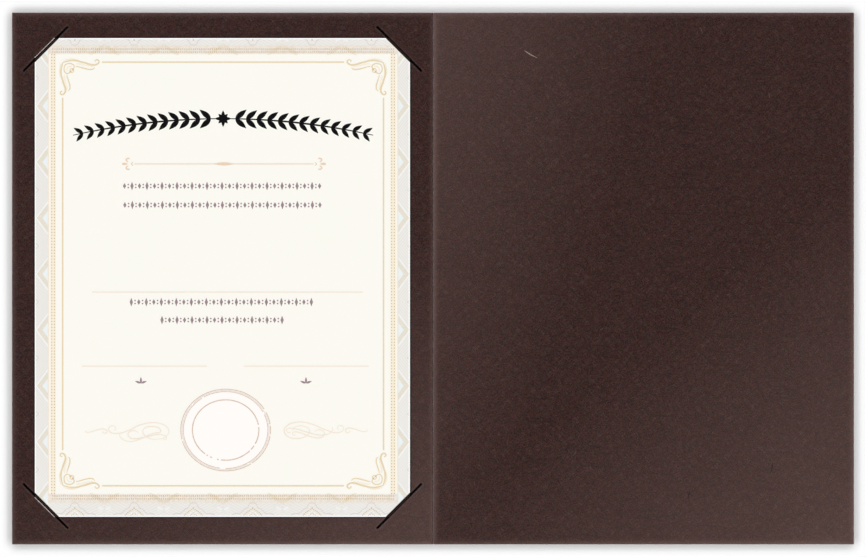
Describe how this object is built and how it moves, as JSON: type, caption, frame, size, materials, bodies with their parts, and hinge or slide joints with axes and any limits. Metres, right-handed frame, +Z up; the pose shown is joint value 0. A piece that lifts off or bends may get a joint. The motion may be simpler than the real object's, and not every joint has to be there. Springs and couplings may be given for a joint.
{
  "type": "certificate folder",
  "caption": "Hinged presentation folder of dark felt-like card that opens flat and holds a printed certificate by diagonal corner slits in its left panel.",
  "frame": {"origin": "middle of the fold, on the surface the open folder lies on", "axes": "+X from the fold to the right panel, +Y to the top of the certificate, +Z up out of the open folder"},
  "size_m": [0.4826, 0.3048, 0.0014],
  "materials": {
    "cover_card": "matte",
    "liner_card": "matte",
    "certificate_paper": "matte",
    "mounting_tape": "satin"
  },
  "bodies": {
    "left_panel": {"left_cover": "cover_card", "fold_crease": "cover_card", "left_liner": "liner_card", "certificate_sheet": "certificate_paper", "left_tape_top": "mounting_tape", "left_tape_bottom": "mounting_tape", "left_tape_outer": "mounting_tape", "left_tape_fold": "mounting_tape"},
    "right_panel": {"right_cover": "cover_card", "right_liner": "liner_card", "right_tape_top": "mounting_tape", "right_tape_bottom": "mounting_tape", "right_tape_outer": "mounting_tape", "right_tape_fold": "mounting_tape"},
    "tab_top_left": {"corner_tab_top_left": "liner_card"},
    "tab_top_right": {"corner_tab_top_right": "liner_card"},
    "tab_bottom_left": {"corner_tab_bottom_left": "liner_card"},
    "tab_bottom_right": {"corner_tab_bottom_right": "liner_card"}
  },
  "joints": [
    {"name": "cover_fold", "type": "hinge", "parent": "left_panel", "child": "right_panel", "pos_m": [0, 0, 0.00137], "axis": [0, -1, 0], "range_deg": [0, 180], "deforming": ["fold_crease"]},
    {"name": "tab_top_left_bend", "type": "hinge", "parent": "left_panel", "child": "tab_top_left", "pos_m": [-0.22171, 0.13131, 0.001], "axis": [-0.7071, -0.7071, 0], "range_deg": [-40, 0], "stiffness_Nm_per_rad": 0.0005},
    {"name": "tab_top_right_bend", "type": "hinge", "parent": "left_panel", "child": "tab_top_right", "pos_m": [-0.01969, 0.13131, 0.001], "axis": [-0.7071, 0.7071, 0], "range_deg": [-40, 0], "stiffness_Nm_per_rad": 0.0005},
    {"name": "tab_bottom_left_bend", "type": "hinge", "parent": "left_panel", "child": "tab_bottom_left", "pos_m": [-0.22171, -0.13011, 0.001], "axis": [0.7071, -0.7071, 0], "range_deg": [-40, 0], "stiffness_Nm_per_rad": 0.0005},
    {"name": "tab_bottom_right_bend", "type": "hinge", "parent": "left_panel", "child": "tab_bottom_right", "pos_m": [-0.01969, -0.13011, 0.001], "axis": [0.7071, 0.7071, 0], "range_deg": [-40, 0], "stiffness_Nm_per_rad": 0.0005}
  ]
}
